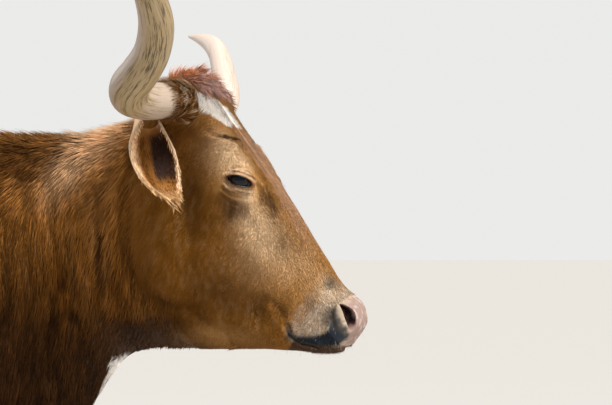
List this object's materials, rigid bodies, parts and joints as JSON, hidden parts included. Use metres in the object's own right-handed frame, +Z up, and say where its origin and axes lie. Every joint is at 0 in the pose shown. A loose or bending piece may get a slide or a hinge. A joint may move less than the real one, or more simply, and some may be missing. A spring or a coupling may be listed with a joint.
{
  "type": "texas longhorn",
  "caption": "Life-size standing Texas longhorn cow with upswept horns, a winter coat and the head turned slightly to the right, as a still museum model.",
  "frame": {"origin": "on the floor under the middle of the whole animal's box", "axes": "+X forward, +Y to the animal's left, +Z up"},
  "size_m": [2.1332, 0.864, 1.5147],
  "materials": {
    "coat": "short reddish-brown winter hair",
    "switch_hair": "long dark red-brown tail hair",
    "horn": "satin cream horn with olive-brown streaks",
    "claw": "satin dark claw horn",
    "eye": "wet gloss",
    "skin": "soft bare pink skin"
  },
  "bodies": {
    "root": {"ear_left": "coat", "ear_right": "coat", "eye_left": "eye", "eye_right": "eye", "foreclaw_left_inner": "claw", "foreclaw_left_outer": "claw", "foreclaw_right_inner": "claw", "foreclaw_right_outer": "claw", "foredewclaw_left_inner": "claw", "foredewclaw_left_outer": "claw", "foredewclaw_right_inner": "claw", "foredewclaw_right_outer": "claw", "foreleg_left": "coat", "foreleg_right": "coat", "head": "coat", "hindclaw_left_inner": "claw", "hindclaw_left_outer": "claw", "hindclaw_right_inner": "claw", "hindclaw_right_outer": "claw", "hinddewclaw_left_inner": "claw", "hinddewclaw_left_outer": "claw", "hinddewclaw_right_inner": "claw", "hinddewclaw_right_outer": "claw", "hindleg_left": "coat", "hindleg_right": "coat", "horn_left": "horn", "horn_right": "horn", "neck": "coat", "tail": "coat", "tail_switch": "switch_hair", "torso": "coat", "udder": "skin"}
  },
  "joints": []
}
